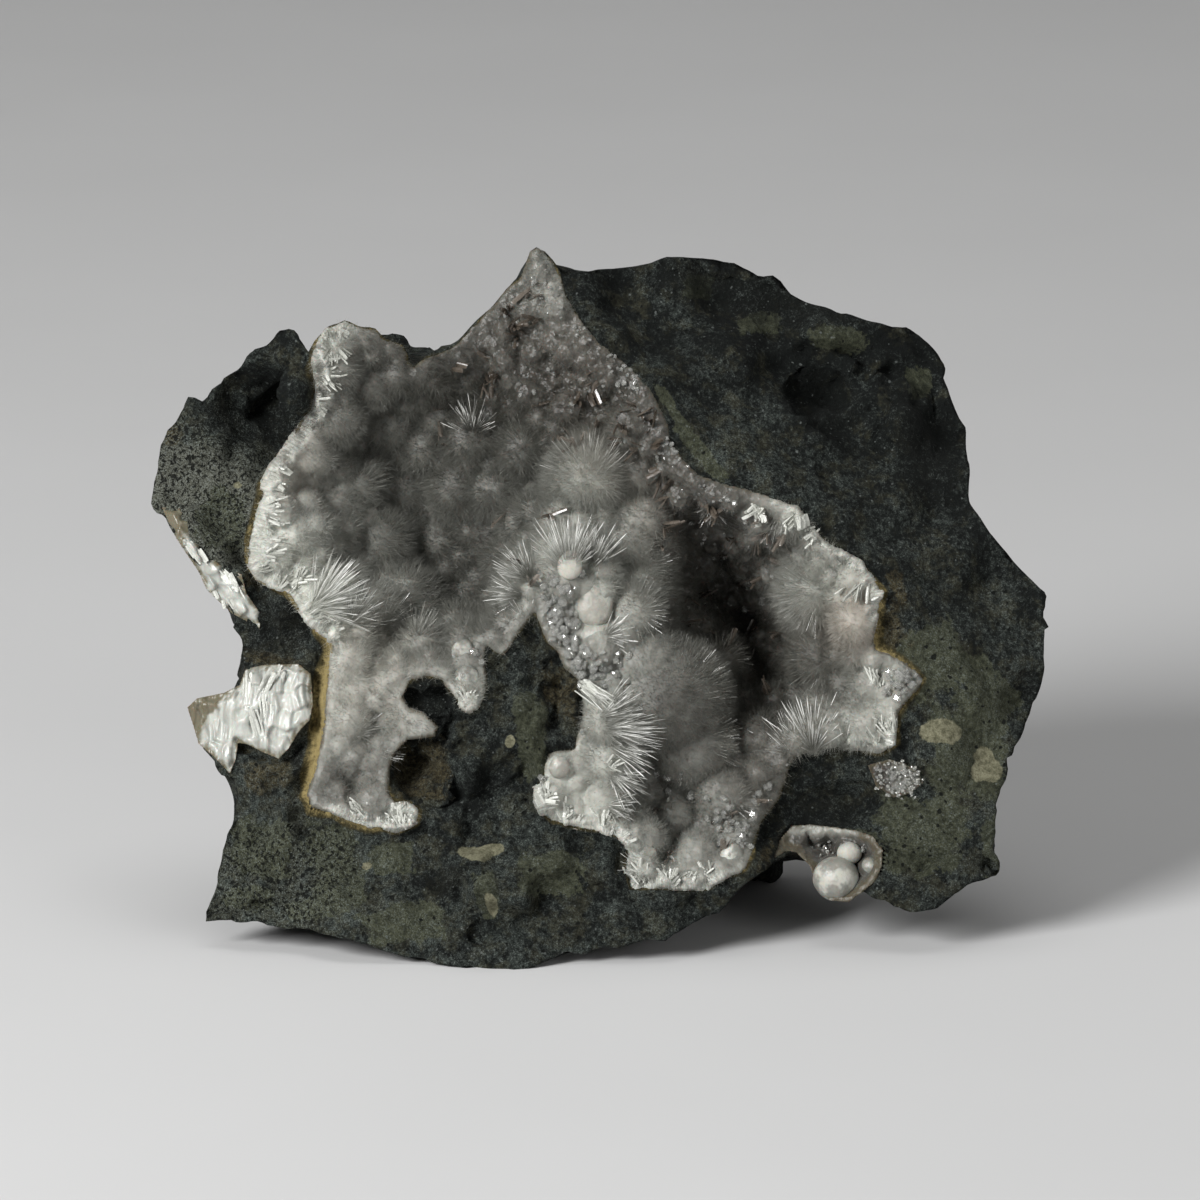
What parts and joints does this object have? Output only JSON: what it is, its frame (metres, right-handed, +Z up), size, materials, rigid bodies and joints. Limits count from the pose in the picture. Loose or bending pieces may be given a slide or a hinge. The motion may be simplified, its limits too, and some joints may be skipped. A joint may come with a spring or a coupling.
{
  "type": "thomsonite with natrolite",
  "caption": "cabinet specimen of dark basalt broken open across a hollow lined with pale thomsonite balls and sprays of white natrolite needles",
  "frame": {"origin": "on the plane of the flat break that the block stands on, near the middle of that break", "axes": "+Z up as the block stands, +X along the block's width to the right of someone who faces the crystals, +Y from the crystals towards the back"},
  "size_m": [0.112, 0.0556, 0.0837],
  "materials": {
    "basalt": "matte",
    "zeolite_crust": "satin",
    "zeolite_fibres": "satin",
    "clear_druse": "gloss"
  },
  "bodies": {
    "root": {"basalt_matrix": "basalt", "vug_crust": "zeolite_crust", "edge_vein": "zeolite_fibres", "fibre_block": "zeolite_fibres", "corner_pocket_crust": "zeolite_crust", "ledge_druse": "clear_druse"}
  },
  "joints": []
}
